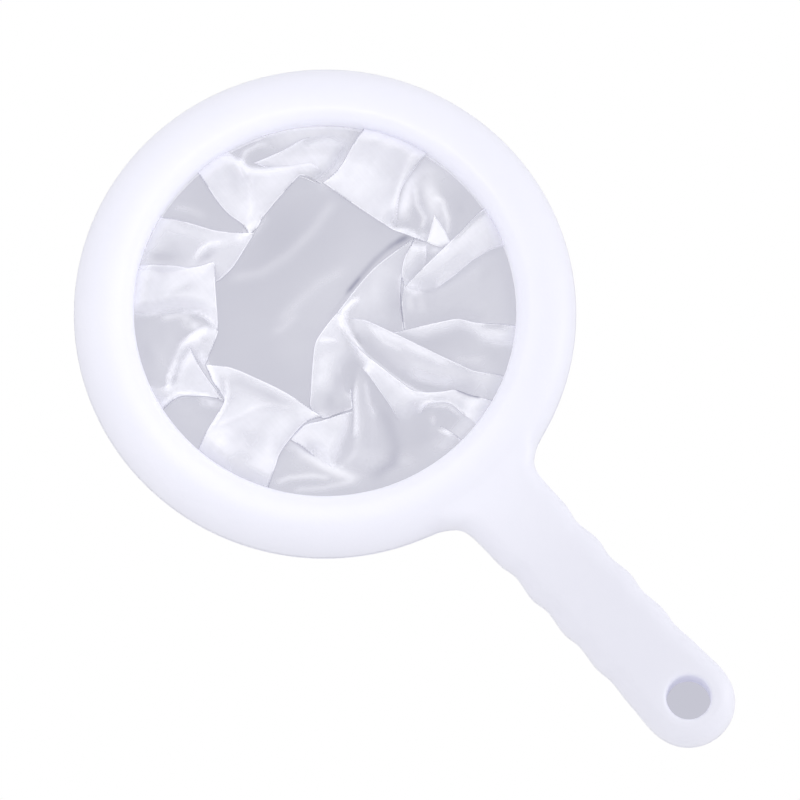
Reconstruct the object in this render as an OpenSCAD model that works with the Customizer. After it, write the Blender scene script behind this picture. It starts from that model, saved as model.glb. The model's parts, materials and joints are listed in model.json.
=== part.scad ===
// Round hand strainer: a two-shell moulded ring with a grip handle, holding a
// fine nylon net. The net lies collapsed in the ring, as it does on a table.
//
// Frame: +Z up, +X from the ring's centre along the handle. The origin is the
// centre of the ring in the plane that the strainer rests on.

/* [Ring] */
// Outside diameter of the ring
ring_d = 172; // [150:1:200]
// Diameter of the mouth, which is the opening above the net
mouth_d = 130.6; // [110:0.2:140]
// Height of the ring
ring_h = 14; // [12:0.5:18]
// Radius of the rounded outer shoulder of the ring
shoulder_r = 12; // [8:0.5:12]
// Radius of the rounded inner edge at the mouth
lip_r = 5; // [2:0.5:6]

/* [Handle] */
// Distance from the ring's centre to the centre of the hanging hole
hang_x = 183.7; // [170:0.1:230]
// Diameter of the hanging hole
hang_d = 15.2; // [8:0.2:18]
// Chamfer at both mouths of the hanging hole
hang_chamfer = 0.8; // [0.4:0.1:1.2]
// Width of the grip over its crests
grip_w = 30.9; // [26:0.1:34]
// Height of the flat top of the grip
grip_h = 12; // [9:0.5:12]
// Radius of the round end of the handle
lobe_r = 16.2; // [14:0.1:18]
// Radius of the rounding along the grip's top edges
grip_edge_r = 6; // [3:0.5:7]
// Radius in plan of the two fillets between the ring and the handle
neck_r = 8; // [5:0.5:12]

/* [Finger grooves] */
// Number of finger grooves along each side
grooves = 4; // [0:1:4]
// Length of one groove along the grip
groove_pitch = 16.3; // [14:0.1:17]
// Depth of the groove nearest the ring
groove_depth = 1.2; // [0.2:0.1:2]
// Share of that depth that the groove nearest the hanging hole keeps
groove_fade = 0.6; // [0.3:0.05:1]
// Share of a groove's length that its steep side takes, nearest the ring
groove_skew = 0.4; // [0.2:0.05:0.5]
// Where the first groove starts, from the ring's centre
groove_x = 105.5; // [100:0.5:108]

/* [Shells] */
// Height of the plane where the two shells meet
part_z = 4; // [3:0.5:6]
// Wall thickness of both shells
wall = 2; // [1.6:0.1:2.4]
// Radius of the rounded bottom edges
foot_r = 2; // [1:0.5:3]
// Thickness of the stiffening ribs
rib_t = 1.2; // [0.8:0.1:2]
// Number of ribs inside the ring
ring_ribs = 12; // [6:1:24]

/* [Net] */
// Thickness of the net as modelled
net_t = 0.3; // [0.2:0.05:0.4]
// Wire radius of the hoop inside the net's hem
hoop_wire_r = 1.3; // [1:0.1:1.5]
// Radius of the flat base panel that lies on the table
base_r = 44; // [36:1:48]
// How far the net's collapsed wall reaches back towards the ring at its lower fold
fold_out_r = 60; // [56:1:62]
// Height of the top of the net's collapsed wall
fold_top_z = 8.6; // [7:0.1:10]

/* [Hidden] */

ring_r = ring_d / 2;
mouth_r = mouth_d / 2;
hang_r = hang_d / 2;

// Centre of the shoulder arc in the ring's section
shoulder_x = ring_r - shoulder_r;
shoulder_z = ring_h - shoulder_r;

// The net leaves the ring through a slot in the mouth's wall
slot_z = 6;
slot_gap = 0.5;

// Hoop and hem, which lie in a trough inside the lower shell
hem_r = hoop_wire_r + 0.05 + net_t;
hoop_r = mouth_r + wall + 0.25 + hem_r;
hoop_z = wall + hem_r + 0.05;
trough_rib_x = hoop_r + hem_r + 0.25;

// Mid-height of the net's base panel
base_z = 0.4;

// The collapsed wall folds over at the base panel's edge and folds back near the ring
upper_fold_r = 1.2;
outer_fold_r = 1;
outer_fold_z = 3.7;

// Alignment pegs and the sockets that take them
first_peg_x = 96;
peg_xs = [first_peg_x, groove_x + groove_pitch, groove_x + 3 * groove_pitch];
peg_r = 2;
peg_play = 0.1;
socket_wall = 1.5;
peg_top_z = 8.5;

// The tongue of the lower shell stands inside the upper shell's wall
tongue_t = 0.8;
tongue_h = 1.5;
tongue_play = 0.1;
tongue_r = shoulder_x - tongue_play
    + sqrt(pow(shoulder_r - wall, 2) - pow(part_z + tongue_h - shoulder_z, 2));

white = [0.95, 0.95, 0.99];
milk_white = [0.90, 0.90, 0.95];
net_white = [0.97, 0.97, 1.0];

// ---------- Curves ----------

function smooth(t) = let (c = min(1, max(0, t))) c * c * (3 - 2 * c);

// How far the finger grooves cut in at a distance x from the ring's centre: each one
// falls steeply and rises gently towards the hanging hole
function groove_dip(x) =
    let (
        run = (x - groove_x) / groove_pitch,
        i = floor(run),
        t = run - i,
        depth = groove_depth * (1 - (1 - groove_fade) * i / max(1, grooves - 1))
    )
    run < 0 || run > grooves ? 0
    : depth * smooth(min(t / groove_skew, (1 - t) / (1 - groove_skew)));

// Half-width of the grip at a distance x from the ring's centre
function grip_half(x) =
    let (bulge_x = groove_x + grooves * groove_pitch)
    grip_w / 2 - groove_dip(x)
    + (lobe_r - grip_w / 2) * smooth((x - bulge_x) / (hang_x - bulge_x));

// Radius of the ring's shoulder at a height z
function shoulder_at(z) =
    z <= shoulder_z ? ring_r
    : shoulder_x + sqrt(pow(shoulder_r, 2) - pow(z - shoulder_z, 2));

// Points on an arc in a plane
function arc(cx, cy, r, from, to, steps) =
    [for (i = [0:steps]) let (a = from + (to - from) * i / steps)
        [cx + r * cos(a), cy + r * sin(a)]];

// Half of the handle's outline at one height, for y > 0, from the ring to the tip.
// inset moves the sides inwards, and contour_r is the ring's radius at that height,
// which the neck fillet runs into. The fillet ends a little inside the ring.
buried = 0.3;
function half_outline(inset, contour_r) =
    let (
        side = grip_w / 2 - inset,
        fillet = neck_r + inset,
        reach = contour_r - buried + fillet,
        fillet_y = side + fillet,
        fillet_x = sqrt(reach * reach - fillet_y * fillet_y),
        to_ring = 180 + atan2(fillet_y, fillet_x),
        step = groove_pitch / 8,
        first_x = groove_x - 3 * step,
        stations = floor((hang_x - first_x) / step)
    )
    concat(
        arc(fillet_x, fillet_y, fillet, to_ring, 270, 5),
        [for (i = [0:stations]) let (x = first_x + i * step) [x, grip_half(x) - inset]],
        arc(hang_x, 0, lobe_r - inset, 90, 0, 6)
    );

// Closed outline: one half, its mirror image, and a root buried in the ring
function outline(inset, contour_r, root_r = shoulder_x) =
    let (
        half = half_outline(inset, contour_r),
        n = len(half),
        a = atan2(half[0].y, half[0].x)
    )
    concat(
        [root_r * [cos(a), sin(a)]],
        half,
        [for (i = [n - 2:-1:0]) [half[i].x, -half[i].y]],
        [root_r * [cos(a), -sin(a)]]
    );

// ---------- Shared shapes ----------

// Skin through outlines of equal length, stacked at the given heights. Each end is
// closed with strips that run from one side of the handle to the other.
module loft(levels) {
    outlines = [for (l = levels) outline(l[1], l[2])];
    n = len(outlines[0]);
    last = len(levels) - 1;
    tip = (n - 1) / 2;
    points = [for (k = [0:last]) for (p = outlines[k]) [p.x, p.y, levels[k][0]]];
    skin = [
        for (k = [0:last - 1]) for (i = [0:n - 1])
            let (j = (i + 1) % n, low = k * n, up = low + n)
            each [[low + i, up + j, up + i], [low + i, low + j, up + j]]
    ];
    strips = concat(
        [for (i = [0:tip - 2]) [i, i + 1, n - 2 - i, n - 1 - i]],
        [[tip - 1, tip, tip + 1]]
    );
    polyhedron(points, concat(
        skin,
        [for (strip = strips) [for (i = [len(strip) - 1:-1:0]) strip[i]]],
        [for (strip = strips) [for (i = strip) last * n + i]]
    ));
}

// Handle above the parting plane, with its top edges rounded
module handle_top() {
    steps = 5;
    loft([for (i = [0:steps]) let (
        a = 90 * i / steps,
        z = part_z + (grip_h - part_z) * sin(a)
    ) [z, grip_edge_r * (1 - cos(a)), shoulder_at(z)]]);
}

// Handle below the parting plane, with its bottom edges rounded
module handle_bottom() {
    steps = 3;
    foot = arc(foot_r, foot_r, foot_r, 270, 180, steps);
    loft(concat(
        [for (p = foot) [p.y, p.x, ring_r - p.x]],
        [[part_z, 0, shoulder_at(part_z)]]
    ));
}

// Ring section above the parting plane, offset inwards by inset and cut off at floor_z
module top_section(inset, floor_z) {
    r = shoulder_r - inset;
    low = asin((part_z - shoulder_z) / r);
    polygon(concat(
        [[mouth_r + inset, floor_z]],
        arc(mouth_r + lip_r, ring_h - lip_r, lip_r - inset, 180, 90, 6),
        arc(shoulder_x, shoulder_z, r, 90, low, 12),
        [[shoulder_x + r * cos(low), floor_z]]
    ));
}

// Ring section below the parting plane
module bottom_section() {
    polygon(concat(
        [[mouth_r, slot_z]],
        arc(mouth_r + foot_r, foot_r, foot_r, 180, 270, 3),
        arc(ring_r - foot_r, foot_r, foot_r, 270, 360, 3),
        [[shoulder_at(part_z), part_z], [mouth_r + wall, part_z], [mouth_r + wall, slot_z]]
    ));
}

// Ring made by turning a section; the seam lies opposite the handle
module turned() {
    rotate([0, 0, 180]) rotate_extrude($fn = 180) children();
}

// Solid ring between two radii and two heights
module band(r0, r1, z0, z1) {
    turned() translate([r0, z0]) square([r1 - r0, z1 - z0]);
}

// Space inside the handle, which opens into the space inside the ring
module handle_cavity(z0, z1, inset) {
    translate([0, 0, z0]) linear_extrude(z1 - z0)
        polygon(outline(inset, ring_r - wall, hoop_r + hem_r + 2));
}

module hang_bore() {
    translate([hang_x, 0, -1]) cylinder(h = ring_h + 2, r = hang_r, $fn = 96);
}

module hang_countersink(z, up) {
    translate([hang_x, 0, z]) mirror([0, 0, up ? 0 : 1])
        translate([0, 0, -hang_chamfer])
            cylinder(h = 2 * hang_chamfer, r1 = hang_r, r2 = hang_r + 2 * hang_chamfer, $fn = 96);
}

module hang_tube(z0, z1) {
    translate([hang_x, 0, z0]) cylinder(h = z1 - z0, r = hang_r + wall, $fn = 96);
}

// ---------- Sub-parts ----------

// Top casing: the dome of the ring and the top of the handle, hollow below
module upper_shell() {
    cavity_inset = 4;
    color(white) difference() {
        union() {
            difference() {
                union() {
                    turned() top_section(0, part_z);
                    handle_top();
                }
                turned() top_section(wall, part_z - 1);
                handle_cavity(part_z - 1, grip_h - wall, cavity_inset);
            }
            press_rib();
            peg_sockets();
            hang_tube(part_z, grip_h - wall + 0.5);
        }
        band(mouth_r - 1, mouth_r + wall + 0.01, part_z - 1, slot_z + slot_gap);
        hang_bore();
        hang_countersink(grip_h, true);
    }
}

// Circular rib that holds the net's hem down in its trough
module press_rib() {
    from = hoop_r + 0.2;
    band(from, from + rib_t, hoop_z + hem_r + 0.1, ring_h - wall + 0.2);
}

module peg_sockets() {
    for (x = peg_xs) translate([x, 0, part_z + 0.1]) difference() {
        cylinder(h = grip_h - wall - part_z, r = peg_r + peg_play + socket_wall, $fn = 48);
        translate([0, 0, -1])
            cylinder(h = peg_top_z + 0.3 - part_z + 1, r = peg_r + peg_play, $fn = 48);
    }
}

// Bottom casing: the tray that closes the ring and the handle
module lower_shell() {
    color(milk_white) difference() {
        union() {
            difference() {
                union() {
                    turned() bottom_section();
                    handle_bottom();
                }
                band(mouth_r + wall, ring_r - wall, wall, part_z + 1);
                handle_cavity(wall, part_z + 1, wall);
            }
            band(trough_rib_x, trough_rib_x + rib_t, wall - 0.5, slot_z);
            band(tongue_r - tongue_t, tongue_r, wall - 0.5, part_z + tongue_h);
            spokes();
            handle_ribs();
            pegs();
            hang_tube(wall - 0.5, part_z);
        }
        hang_bore();
        hang_countersink(0, false);
    }
}

// Radial ribs between the trough and the tongue
module spokes() {
    from = trough_rib_x + rib_t / 2;
    for (i = [0:ring_ribs - 1]) rotate([0, 0, (i + 0.5) * 360 / ring_ribs])
        translate([from, -rib_t / 2, wall - 0.5])
            cube([tongue_r - tongue_t / 2 - from, rib_t, part_z - wall + 0.5]);
}

module handle_ribs() {
    for (i = [0:grooves - 1]) {
        x = groove_x + (i + 0.5) * groove_pitch;
        w = 2 * (grip_half(x) - wall) + 0.4;
        translate([x - rib_t / 2, -w / 2, wall - 0.5]) cube([rib_t, w, part_z - wall + 0.5]);
    }
}

module pegs() {
    for (x = peg_xs) translate([x, 0, wall - 0.5]) {
        cylinder(h = peg_top_z - wall + 0.5, r = peg_r, $fn = 48);
    }
}

// Plastic hoop inside the net's hem
module net_hoop() {
    color(milk_white) turned() translate([hoop_r, hoop_z]) circle(r = hoop_wire_r, $fn = 32);
}

// Ribbon of net thickness along a line of points in the section plane
function unit(v) = v / norm(v);
function side_of(p, i) =
    let (
        n = len(p) - 1,
        ahead = unit(p[min(i + 1, n)] - p[min(i, n - 1)]),
        behind = unit(p[max(i, 1)] - p[max(i - 1, 0)]),
        d = unit(ahead + behind)
    ) [-d.y, d.x];
module ribbon(p) {
    n = len(p) - 1;
    polygon(concat(
        [for (i = [0:n]) p[i] + side_of(p, i) * net_t / 2],
        [for (i = [n:-1:0]) p[i] - side_of(p, i) * net_t / 2]
    ));
}

// Hem round the hoop, the strip that leaves through the slot, and the wall, which
// is folded in, out and in again between the mouth and the base panel
module net_wall() {
    slot_mid = slot_z + slot_gap / 2;
    lower_fold_x = base_r + 2;
    path = concat(
        arc(hoop_r, hoop_z, hem_r - net_t / 2, 150, 450, 14),
        [[mouth_r + wall + 0.4, slot_mid - 0.5]],
        [[mouth_r + wall, slot_mid], [mouth_r - 0.6, slot_mid]],
        [[mouth_r - 3, slot_mid + 0.9], [lower_fold_x + 4, fold_top_z]],
        arc(lower_fold_x + upper_fold_r, fold_top_z - 1.3, upper_fold_r, 90, 270, 4),
        [[fold_out_r - 1.2, outer_fold_z + 0.9]],
        arc(fold_out_r, outer_fold_z, outer_fold_r, 80, -80, 4),
        [[lower_fold_x + 1, 1.2], [base_r + 0.2, base_z]]
    );
    color(net_white) turned() ribbon(path);
}

// Flat base panel of the net
module net_base() {
    color(net_white) translate([0, 0, base_z - net_t / 2])
        cylinder(h = net_t, r = base_r, $fn = 180);
}

upper_shell();
lower_shell();
net_hoop();
net_wall();
net_base();
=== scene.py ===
"""Hand strainer: a white moulded ring and handle with a fine nylon net lying folded in the ring."""

import json
import math

import bmesh
import bpy
import numpy as np
from mathutils import Matrix, Vector
from mathutils.geometry import delaunay_2d_cdt


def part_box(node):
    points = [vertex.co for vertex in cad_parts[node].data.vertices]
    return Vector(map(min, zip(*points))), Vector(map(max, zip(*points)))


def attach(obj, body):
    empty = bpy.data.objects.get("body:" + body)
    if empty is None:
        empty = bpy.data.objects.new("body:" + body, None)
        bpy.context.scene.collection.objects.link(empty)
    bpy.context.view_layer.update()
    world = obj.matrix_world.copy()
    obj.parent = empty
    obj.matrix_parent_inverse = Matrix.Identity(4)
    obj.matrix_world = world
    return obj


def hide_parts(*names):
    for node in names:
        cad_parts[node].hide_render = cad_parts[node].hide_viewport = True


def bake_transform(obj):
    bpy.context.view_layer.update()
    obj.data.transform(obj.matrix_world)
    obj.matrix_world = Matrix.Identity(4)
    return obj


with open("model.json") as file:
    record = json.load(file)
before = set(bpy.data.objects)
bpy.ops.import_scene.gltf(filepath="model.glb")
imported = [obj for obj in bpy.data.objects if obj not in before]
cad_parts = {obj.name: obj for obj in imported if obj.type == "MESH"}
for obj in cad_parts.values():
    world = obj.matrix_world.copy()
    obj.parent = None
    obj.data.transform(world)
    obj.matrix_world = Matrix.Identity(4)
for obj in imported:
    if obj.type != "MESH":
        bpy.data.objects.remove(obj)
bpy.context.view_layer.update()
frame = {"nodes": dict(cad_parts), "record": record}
MM = 0.001

# ---------- Sizes, in mm ----------

_, shell_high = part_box("upper_shell")
base_low, base_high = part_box("net_base")
mounts = {m["name"]: m for m in frame["record"]["mounts"]}
HANG_X = mounts["hang_hole"]["pos_m"][0] / MM
HANG_R = mounts["hang_hole"]["dims"]["r_mm"]
LOBE_R = shell_high[0] / MM - HANG_X    # radius of the handle's round end
MOUTH_R = 65.3                          # radius of the mouth
SHOULDER = (74, 2, 12)                  # arc over the outside of the ring: centre's radius and height, radius
LIP = (70.3, 9, 5)                      # arc over the edge of the mouth, in the same way
WALL = 1.8                              # wall of the shells
SEAM_Z = 4.0                            # height at which the shells meet
SEAM_GAP = 0.1                          # gap between them, a fine line round the outside
SLOT_Z = 6.25                           # height at which the net leaves the ring's inner wall
SLOT_HALF = 0.25                        # half the height of the slot that it comes out of
GRIP_H = 12.0                           # height of the flat top of the grip
GRIP_HALF = 15.45                       # half-width of the grip over its crests
GROOVE_X, GROOVE_PITCH, GROOVES, GROOVE_DEPTH = 105.5, 16.3, 4, 1.2
GROOVE_FADE = 0.6                       # share of its depth that the last groove keeps
GROOVE_SKEW = 0.4                       # share of a groove's length that its steep side takes
GROOVES_END = GROOVE_X + GROOVES * GROOVE_PITCH

# The camera looks down at 13.2 degrees from straight above. RIGHT and AWAY lie in the table.
TILT = math.radians(13.2)
TURN = 47.7             # degrees from the handle's axis to the picture's right
RIGHT = Vector((math.cos(math.radians(TURN)), math.sin(math.radians(TURN)), 0))
AWAY = Vector((-RIGHT.y, RIGHT.x, 0))


def link(name, mesh):
    obj = bpy.data.objects.new(name, mesh)
    bpy.context.scene.collection.objects.link(obj)
    return obj


def smooth_shaded(mesh):
    for p in mesh.polygons:
        p.use_smooth = True


def mesh_object(name, points_mm, faces):
    mesh = bpy.data.meshes.new(name)
    mesh.from_pydata([tuple(float(c) * MM for c in p) for p in points_mm], [], faces)
    mesh.update()
    smooth_shaded(mesh)
    return link(name, mesh)


def apply_modifiers(obj):
    deps = bpy.context.evaluated_depsgraph_get()
    done = bpy.data.meshes.new_from_object(obj.evaluated_get(deps))
    obj.modifiers.clear()
    old, obj.data = obj.data, done
    bpy.data.meshes.remove(old)


def smooth(t):
    """Eases from 0 to 1 while t goes from 0 to 1."""
    t = np.clip(t, 0, 1)
    return t * t * (3 - 2 * t)


# ---------- Ring and handle ----------
# Each half is a coarse control cage that a subdivision surface rounds off. The surface draws circles and
# waves inwards, so the cage is drawn a little too large by the gains below.

STATIONS = 72           # round the ring, 5 degrees apart
NECK = 3                # the handle joins between stations -NECK and +NECK
GROOVE_STEPS = 8        # stations along one finger groove
LOBE_STEPS = 8          # steps round the handle's end
GROOVE_GAIN = 1.1
LOBE_GAIN = 1.01
RING_GAIN = 3 / (2 + math.cos(2 * math.pi / STATIONS))
SLOT_SIDE_R = 70        # inside this radius an edge of a shell belongs to the net's slot

# (x, half-width) where the ring runs into the handle
NECK_CURVE = [(84.6, 20.2), (86.2, 17.9), (88.4, 16.4), (91.2, 15.75), (94.5, 15.5), (98.3, GRIP_HALF),
              (102.0, GRIP_HALF)]


class Cage:
    """Points and four-sided faces of a control cage."""

    def __init__(self):
        self.points = []
        self.faces = []

    def add(self, x, y, z):
        self.points.append((x, y, z))
        return len(self.points) - 1

    def quad(self, *corners):
        self.faces.append(corners)


def grip_half(x):
    """Half-width of the handle at x, with its finger grooves."""
    if x < GROOVES_END:
        i, t = divmod((x - GROOVE_X) / GROOVE_PITCH, 1)
        depth = GROOVE_DEPTH * (1 - (1 - GROOVE_FADE) * i / (GROOVES - 1))
        return GRIP_HALF - GROOVE_GAIN * depth * smooth(min(t / GROOVE_SKEW, (1 - t) / (1 - GROOVE_SKEW)))
    return GRIP_HALF + (LOBE_R - GRIP_HALF) * smooth((x - GROOVES_END) / (HANG_X - GROOVES_END))


def side_stations():
    """(x, half-width) along the handle's side from the neck to the start of the round end."""
    xs = np.linspace(GROOVE_X, GROOVES_END, GROOVES * GROOVE_STEPS + 1)[:-1].tolist()
    xs += np.linspace(GROOVES_END, HANG_X, 4).tolist()
    return NECK_CURVE + [(x, float(grip_half(x))) for x in xs]


def ring_grid(cage, rows, junction):
    """Points round the ring by station and row, without those of the outer rows that the handle covers."""
    grid = {}
    for i in range(STATIONS):
        a = 2 * math.pi * i / STATIONS
        at_handle = min(i, STATIONS - i) < NECK
        for j, (r, z) in enumerate(rows):
            if j >= junction or not at_handle:
                grid[i, j] = cage.add(r * math.cos(a), r * math.sin(a), z)
    for i in range(STATIONS):
        k = (i + 1) % STATIONS
        for j in range(len(rows) - 1):
            if (i, j) in grid and (k, j) in grid:
                cage.quad(grid[i, j], grid[k, j], grid[k, j + 1], grid[i, j + 1])
    return grid


def handle_side(cage, grid, rows, stations):
    """Columns of points up the handle's side, all the way round from the ring to the ring again."""
    outline = [(x, w, 0.0, 1.0) for x, w in stations]
    for k in range(1, LOBE_STEPS):
        a = math.radians(90 - 180 * k / LOBE_STEPS)
        nx, ny = math.cos(a), math.sin(a)
        outline.append((HANG_X + LOBE_R * LOBE_GAIN * nx, LOBE_R * LOBE_GAIN * ny, nx, ny))
    outline += [(x, -w, 0.0, -1.0) for x, w in reversed(stations)]
    side = [[cage.add(x - inset * nx, y - inset * ny, z) for inset, z in rows] for x, y, nx, ny in outline]
    side.insert(0, [grid[NECK, j] for j in range(len(rows))])
    side.append([grid[STATIONS - NECK, j] for j in range(len(rows))])
    for here, after in zip(side, side[1:]):
        for j in range(len(rows) - 1):
            cage.quad(after[j], here[j], here[j + 1], after[j + 1])
    return side


def flat_face(cage, first_row, side_edge, rows, z):
    """Rows of points across the handle's flat face, from the ring to the round end. Returns the last row."""
    across = 2 * NECK
    previous = first_row
    for s in range(1, rows + 1):
        left, right = side_edge[s], side_edge[-1 - s]
        (ax, ay, _), (bx, by, _) = cage.points[left], cage.points[right]
        row = [left]
        for c in range(1, across):
            t = c / across
            row.append(cage.add(ax + (bx - ax) * t, ay + (by - ay) * t, z))
        row.append(right)
        for c in range(across):
            cage.quad(previous[c], previous[c + 1], row[c + 1], row[c])
        previous = row
    return previous


def hole_rings(cage, loop, rows):
    """Rings of points from a loop in the round end to the hanging hole and through it.

    rows: (share, radius, z). The share says how far the points have moved from the loop's own spacing to
    an even one. With no radius it also says how far they have moved from the loop to the hole.
    """
    count = len(loop)
    own = np.unwrap([math.atan2(cage.points[k][1], cage.points[k][0] - HANG_X) for k in loop])
    even = own[0] - 2 * math.pi * np.arange(count) / count
    even += np.mean(own - even)
    outer = loop
    for share, r, z in rows:
        ring = []
        for k, angle in enumerate(own * (1 - share) + even * share):
            dx, dy = math.cos(angle), math.sin(angle)
            if r is None:
                x, y, _ = cage.points[loop[k]]
                hole_x, hole_y = HANG_X + HANG_R * dx, HANG_R * dy
                ring.append(cage.add(x + (hole_x - x) * share, y + (hole_y - y) * share, z))
            else:
                ring.append(cage.add(HANG_X + r * dx, r * dy, z))
        for k in range(count):
            m = (k + 1) % count
            cage.quad(outer[m], outer[k], ring[k], ring[m])
        outer = ring


def face_outwards(mesh, up):
    """Turns all faces to one side, so that the largest flat one faces up or down."""
    bm = bmesh.new()
    bm.from_mesh(mesh)
    bmesh.ops.recalc_face_normals(bm, faces=bm.faces)
    flat = max(bm.faces, key=lambda f: f.calc_area() * abs(f.normal.z))
    if (flat.normal.z > 0) != up:
        bmesh.ops.reverse_faces(bm, faces=bm.faces)
    bm.to_mesh(mesh)
    bm.free()


def trim_to_seam(mesh, outside_z, mouth_z, keep_above):
    """Flattens the shell's edges onto the plane where the shells meet, and the mouth's edge onto the slot."""
    pick = max if keep_above else min
    for v in mesh.vertices:
        seam = outside_z if math.hypot(v.co.x, v.co.y) > SLOT_SIDE_R * MM else mouth_z
        v.co.z = pick(v.co.z, seam * MM)


def shell(name, node, outer_rows, side_rows, inner_rows, face_z, hole):
    """One half of the frame.

    outer_rows: (r, z) on the ring's section, from the seam to the row that the handle's flat face joins.
    side_rows: (inset, z) up the handle's side, the same number of rows.
    inner_rows: (r, z) on the ring's section from there to the edge at the net's slot.
    """
    cage = Cage()
    junction = len(outer_rows) - 1
    grid = ring_grid(cage, outer_rows + inner_rows, junction)
    stations = side_stations()
    side = handle_side(cage, grid, side_rows, stations)
    edge = [column[junction] for column in side]
    # rows of points run straight across up to the round end, and rings round the hole take over there
    lobe_at = next(k for k, (x, _) in enumerate(stations) if x > HANG_X - LOBE_R - 1)
    ring_row = [grid[(NECK - c) % STATIONS, junction] for c in range(2 * NECK + 1)]
    last_row = flat_face(cage, ring_row, edge, lobe_at + 1, face_z)
    hole_rings(cage, edge[lobe_at + 1:-lobe_at - 1] + last_row[-2:0:-1], hole)

    is_top = node == "upper_shell"
    obj = mesh_object(name, cage.points, cage.faces)
    face_outwards(obj.data, up=is_top)
    rounding = obj.modifiers.new("rounding", "SUBSURF")
    rounding.levels = rounding.render_levels = 2
    wall = obj.modifiers.new("wall", "SOLIDIFY")
    wall.thickness = WALL * MM
    wall.offset = -1
    apply_modifiers(obj)
    trim_to_seam(obj.data, outer_rows[0][1], inner_rows[-1][1], keep_above=is_top)
    smooth_shaded(obj.data)
    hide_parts(node)
    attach(obj, "frame")
    return obj


def section_arc(centre_r, centre_z, radius, degrees):
    """Points (r, z) on an arc of the ring's section."""
    angles = [math.radians(a) for a in degrees]
    return [(centre_r + radius * math.cos(a), centre_z + radius * math.sin(a)) for a in angles]


def widened(rows):
    return [(r * RING_GAIN, z) for r, z in rows]


def hole_rows(face_z, inward, bore):
    """Rows for hole_rings: the flat face, the hole's broken edge, and its bore at the given heights."""
    flat = [(0.35, None, face_z), (1.0, HANG_R + 1.9, face_z), (1.0, HANG_R + 0.95, face_z)]
    edge = [(1.0, HANG_R + 0.15, face_z + inward * 0.7), (1.0, HANG_R, face_z + inward * 1.6)]
    return flat + edge + [(1.0, HANG_R, z) for z in bore]


# Upper half: shoulder arc from the seam, flat top, rounded lip, inner wall down to the slot
seam_r = SHOULDER[0] + math.sqrt(SHOULDER[2] ** 2 - (SEAM_Z - SHOULDER[1]) ** 2)
upper = shell(
    "strainer_top", "upper_shell",
    widened([(seam_r, SEAM_Z)] + section_arc(*SHOULDER, (24, 40, 56))),
    [(0.0, SEAM_Z), (0.25, 7.2), (1.7, 10.1), (4.6, 11.9)],
    widened(section_arc(*SHOULDER, (72, 88)) + [(71.2, 14.02)] + section_arc(*LIP, (102, 128, 154, 180))
            + [(MOUTH_R, 7.6), (MOUTH_R, 6.6), (MOUTH_R, SLOT_Z + SLOT_HALF)]),
    GRIP_H, hole_rows(GRIP_H, -1, (7.0, 4.2, SEAM_Z)))

# Lower half: rounded foot from the seam, flat underside, inner wall up to the slot
low_edge = SEAM_Z - SEAM_GAP
lower = shell(
    "strainer_bottom", "lower_shell",
    widened([(85.83, low_edge), (85.9, 2.9), (85.4, 1.1), (83.9, 0.1)]),
    [(0.0, low_edge), (0.1, 2.9), (0.6, 1.0), (2.2, 0.05)],
    widened([(81.0, 0.0), (76.0, 0.0), (70.5, 0.0), (67.6, 0.05), (65.8, 0.7)]
            + [(MOUTH_R, z) for z in (2.2, 4.0, 5.8, SLOT_Z - SLOT_HALF)]),
    0.0, hole_rows(0.0, 1, (3.7, low_edge)))


# ---------- Net ----------
# Laid out in plan, in mm, with x to the right and y away from the camera. The net is a thin sheet from
# the ring's slot down to the table, and flaps: places where the sheet is folded over itself. A flap's
# edges are c (a pressed fold), e (a plain edge), s (runs softly into the sheet) or r (under the ring).

NET_R = 66.4                            # radius of the net's edge, which is hidden in the slot
FLOOR_Z = base_low[2] / MM + 0.15       # height of the sheet where it lies on the table
SHEET_STEPS = 190                       # squares across the sheet
SHEET_DENSITY = 0.09                    # whiteness of one layer
OUTLINE_STEP = 0.7                      # between points along a flap's outline
CLOSE_ROWS = (0.14, 0.3, 0.6, 1.05)     # distances at which rows of points follow a flap's crisp edges
GRID_STEP = 0.95                        # between the other points inside a flap
LAYER_RISE = 0.95                       # height of one layer of flaps above the next
ROLL = 0.95                             # width of the rounding along a crisp edge
WRINKLE = 0.11                          # height of the small random wrinkles

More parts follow.
